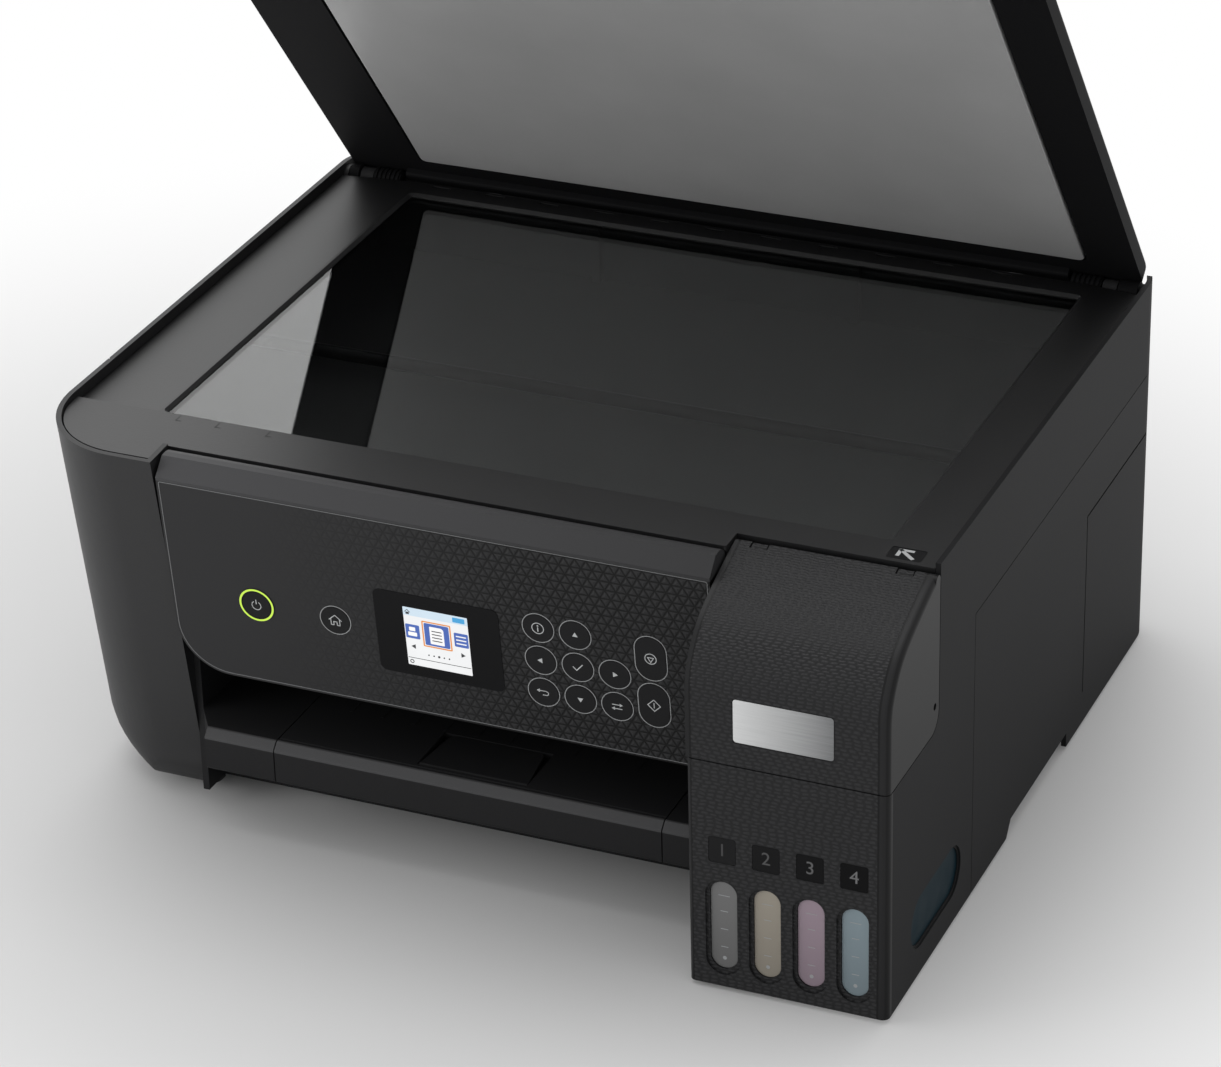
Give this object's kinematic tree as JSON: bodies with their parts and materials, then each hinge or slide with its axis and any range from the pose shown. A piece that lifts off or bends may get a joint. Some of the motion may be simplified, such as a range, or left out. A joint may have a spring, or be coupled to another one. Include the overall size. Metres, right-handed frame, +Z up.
{
  "type": "inkjet printer",
  "caption": "Ink-tank inkjet printer with flatbed scanner, hinged lid with grey pad, tilting control panel, refillable tanks behind windows and a pull-out output tray",
  "frame": {"origin": "middle of the printer's footprint, on the surface it stands on", "axes": "+X to the right seen from the front, +Y to the back, +Z up"},
  "size_m": [0.375, 0.347, 0.3731],
  "materials": {
    "black_plastic": "fine grained matte black moulding",
    "deck_plastic": "fine grained dark grey moulding",
    "panel_plastic": "embossed matte black fascia",
    "tank_plastic": "leather-grained matte black moulding",
    "key_plastic": "smooth satin key",
    "inner_plastic": "plain inner moulding",
    "gloss_window": "polished display window",
    "light_guide": "lit yellow-green light guide",
    "scan_glass": "clear float glass",
    "pad_foam": "smooth grey sheet on soft foam",
    "tank_clear": "translucent tank moulding",
    "cap_black_rubber": "cap",
    "cap_yellow_rubber": "cap",
    "cap_magenta_rubber": "cap",
    "cap_cyan_rubber": "cap",
    "steel": "plated sheet and ground shaft",
    "white_gear": "natural acetal",
    "rubber": "black rubber",
    "board": "green board"
  },
  "bodies": {
    "chassis": {"base_case": "black_plastic", "left_side_panel": "black_plastic", "right_side_panel": "black_plastic", "rear_cover": "black_plastic", "front_frame": "inner_plastic", "rubber_feet": "rubber", "tank_case": "tank_plastic", "ink_tanks": "tank_clear", "hinge_pins": "steel", "carriage_rail": "steel", "drive_belt": "rubber", "carriage_motor": "steel", "feed_motor": "steel", "platen": "inner_plastic", "capping_station": "inner_plastic", "main_board": "board", "power_supply": "inner_plastic"},
    "scanner_unit": {"scanner_deck": "deck_plastic", "scanner_glass": "scan_glass", "scanner_tray": "inner_plastic", "scan_rail": "steel"},
    "scan_carriage": {"scan_bar": "inner_plastic"},
    "lid": {"lid_shell": "black_plastic", "document_pad": "pad_foam", "lid_hinges": "inner_plastic"},
    "control_panel": {"panel_shell": "panel_plastic", "display_window": "gloss_window", "power_ring": "light_guide"},
    "ink_cover": {"tank_cover": "tank_plastic"},
    "tray": {"output_tray": "black_plastic"},
    "extension": {"tray_extension": "black_plastic"},
    "stopper": {"tray_stopper": "black_plastic"},
    "feed_support": {"paper_support": "black_plastic"},
    "guide_left": {"edge_guide_left": "inner_plastic"},
    "guide_right": {"edge_guide_right": "inner_plastic"},
    "carriage": {"print_carriage": "inner_plastic"},
    "drive_pulley": {"motor_pulley": "white_gear"},
    "belt_pulley": {"idler_pulley": "white_gear"},
    "paper_feed": {"feed_roller": "steel", "feed_gear": "white_gear"},
    "gear_idler": {"idler_gear": "white_gear"},
    "paper_eject": {"eject_roller": "rubber", "eject_gear": "white_gear"},
    "pinion": {"motor_pinion": "white_gear"},
    "lid_of_cap_black": {"cap_black": "cap_black_rubber"},
    "lid_of_cap_yellow": {"cap_yellow": "cap_yellow_rubber"},
    "lid_of_cap_magenta": {"cap_magenta": "cap_magenta_rubber"},
    "lid_of_cap_cyan": {"cap_cyan": "cap_cyan_rubber"},
    "power_button": {"power_button": "key_plastic"},
    "home_button": {"home_button": "key_plastic"},
    "help_button": {"help_button": "key_plastic"},
    "up_button": {"up_button": "key_plastic"},
    "left_button": {"left_button": "key_plastic"},
    "ok_button": {"ok_button": "key_plastic"},
    "right_button": {"right_button": "key_plastic"},
    "back_button": {"back_button": "key_plastic"},
    "down_button": {"down_button": "key_plastic"},
    "options_button": {"options_button": "key_plastic"},
    "stop_button": {"stop_button": "key_plastic"},
    "start_button": {"start_button": "key_plastic"}
  },
  "joints": [
    {"name": "scanner_lift", "type": "hinge", "parent": "chassis", "child": "scanner_unit", "pos_m": [0, 0.1445, 0.1643], "axis": [-1, 0, 0], "range_deg": [0, 22]},
    {"name": "scan_travel", "type": "slide", "parent": "scanner_unit", "child": "scan_carriage", "axis": [1, 0, 0], "range_m": [-0.3, 0]},
    {"name": "lid_hinge", "type": "hinge", "parent": "scanner_unit", "child": "lid", "pos_m": [0, 0.1445, 0.1643], "axis": [-1, 0, 0], "range_deg": [-51.4, 28.6]},
    {"name": "panel_tilt", "type": "hinge", "parent": "chassis", "child": "control_panel", "pos_m": [0, -0.135, 0.1615], "axis": [-1, 0, 0], "range_deg": [0, 40]},
    {"name": "tank_cover_hinge", "type": "hinge", "parent": "chassis", "child": "ink_cover", "pos_m": [0.147, -0.1215, 0.1645], "axis": [-1, 0, 0], "range_deg": [0, 95]},
    {"name": "tray_slide", "type": "slide", "parent": "chassis", "child": "tray", "axis": [0, -1, 0], "range_m": [0, 0.095]},
    {"name": "extension_slide", "type": "slide", "parent": "tray", "child": "extension", "axis": [0, -1, 0], "range_m": [0, 0.085]},
    {"name": "stopper_flip", "type": "hinge", "parent": "tray", "child": "stopper", "pos_m": [0, -0.13, 0.0449], "axis": [1, 0, 0], "range_deg": [0, 75]},
    {"name": "support_slide", "type": "slide", "parent": "chassis", "child": "feed_support", "axis": [0, 0.4226, 0.9063], "range_m": [0, 0.1]},
    {"name": "guide_left_slide", "type": "slide", "parent": "chassis", "child": "guide_left", "axis": [1, 0, 0], "range_m": [0, 0.055]},
    {"name": "guide_right_slide", "type": "slide", "parent": "chassis", "child": "guide_right", "axis": [-1, 0, 0], "range_m": [0, 0.055]},
    {"name": "carriage_travel", "type": "slide", "parent": "chassis", "child": "carriage", "axis": [1, 0, 0], "range_m": [-0.245, 0]},
    {"name": "drive_pulley_turn", "type": "hinge", "parent": "chassis", "child": "drive_pulley", "pos_m": [-0.155, 0.0735, 0.105], "axis": [0, 1, 0], "continuous": true},
    {"name": "belt_pulley_turn", "type": "hinge", "parent": "chassis", "child": "belt_pulley", "pos_m": [0.168, 0.0735, 0.105], "axis": [0, 1, 0], "continuous": true},
    {"name": "feed_turn", "type": "hinge", "parent": "chassis", "child": "paper_feed", "pos_m": [-0.169, 0.066, 0.052], "axis": [1, 0, 0], "continuous": true},
    {"name": "idler_turn", "type": "hinge", "parent": "chassis", "child": "gear_idler", "pos_m": [-0.169, 0.0339, 0.052], "axis": [1, 0, 0], "continuous": true},
    {"name": "eject_turn", "type": "hinge", "parent": "chassis", "child": "paper_eject", "pos_m": [-0.169, 0.0098, 0.052], "axis": [1, 0, 0], "continuous": true},
    {"name": "pinion_turn", "type": "hinge", "parent": "chassis", "child": "pinion", "pos_m": [-0.169, 0.08774, 0.03945], "axis": [1, 0, 0], "continuous": true},
    {"name": "cap_black_flip", "type": "hinge", "parent": "chassis", "child": "lid_of_cap_black", "pos_m": [0.121, -0.1345, 0.1052], "axis": [-1, 0, 0], "range_deg": [0, 110]},
    {"name": "cap_yellow_flip", "type": "hinge", "parent": "chassis", "child": "lid_of_cap_yellow", "pos_m": [0.13867, -0.1345, 0.1052], "axis": [-1, 0, 0], "range_deg": [0, 110]},
    {"name": "cap_magenta_flip", "type": "hinge", "parent": "chassis", "child": "lid_of_cap_magenta", "pos_m": [0.15634, -0.1345, 0.1052], "axis": [-1, 0, 0], "range_deg": [0, 110]},
    {"name": "cap_cyan_flip", "type": "hinge", "parent": "chassis", "child": "lid_of_cap_cyan", "pos_m": [0.17401, -0.1345, 0.1052], "axis": [-1, 0, 0], "range_deg": [0, 110]},
    {"name": "power_button_press", "type": "slide", "parent": "control_panel", "child": "power_button", "axis": [0, 0.9934, 0.1147], "range_m": [0, 0.0005], "stiffness_N_per_m": 1200},
    {"name": "home_button_press", "type": "slide", "parent": "control_panel", "child": "home_button", "axis": [0, 0.9934, 0.1147], "range_m": [0, 0.0005], "stiffness_N_per_m": 1200},
    {"name": "help_button_press", "type": "slide", "parent": "control_panel", "child": "help_button", "axis": [0, 0.9934, 0.1147], "range_m": [0, 0.0005], "stiffness_N_per_m": 1200},
    {"name": "up_button_press", "type": "slide", "parent": "control_panel", "child": "up_button", "axis": [0, 0.9934, 0.1147], "range_m": [0, 0.0005], "stiffness_N_per_m": 1200},
    {"name": "left_button_press", "type": "slide", "parent": "control_panel", "child": "left_button", "axis": [0, 0.9934, 0.1147], "range_m": [0, 0.0005], "stiffness_N_per_m": 1200},
    {"name": "ok_button_press", "type": "slide", "parent": "control_panel", "child": "ok_button", "axis": [0, 0.9934, 0.1147], "range_m": [0, 0.0005], "stiffness_N_per_m": 1200},
    {"name": "right_button_press", "type": "slide", "parent": "control_panel", "child": "right_button", "axis": [0, 0.9934, 0.1147], "range_m": [0, 0.0005], "stiffness_N_per_m": 1200},
    {"name": "back_button_press", "type": "slide", "parent": "control_panel", "child": "back_button", "axis": [0, 0.9934, 0.1147], "range_m": [0, 0.0005], "stiffness_N_per_m": 1200},
    {"name": "down_button_press", "type": "slide", "parent": "control_panel", "child": "down_button", "axis": [0, 0.9934, 0.1147], "range_m": [0, 0.0005], "stiffness_N_per_m": 1200},
    {"name": "options_button_press", "type": "slide", "parent": "control_panel", "child": "options_button", "axis": [0, 0.9934, 0.1147], "range_m": [0, 0.0005], "stiffness_N_per_m": 1200},
    {"name": "stop_button_press", "type": "slide", "parent": "control_panel", "child": "stop_button", "axis": [0, 0.9934, 0.1147], "range_m": [0, 0.0005], "stiffness_N_per_m": 1200},
    {"name": "start_button_press", "type": "slide", "parent": "control_panel", "child": "start_button", "axis": [0, 0.9934, 0.1147], "range_m": [0, 0.0005], "stiffness_N_per_m": 1200}
  ],
  "couplings": [
    {"joint": "guide_right_slide", "follows": "guide_left_slide", "ratio": 1},
    {"joint": "drive_pulley_turn", "follows": "carriage_travel", "rad_per_m": 161.29},
    {"joint": "belt_pulley_turn", "follows": "carriage_travel", "rad_per_m": 161.29},
    {"joint": "idler_turn", "follows": "feed_turn", "ratio": -1.6667},
    {"joint": "eject_turn", "follows": "feed_turn", "ratio": 1.6667},
    {"joint": "pinion_turn", "follows": "feed_turn", "ratio": -4}
  ]
}
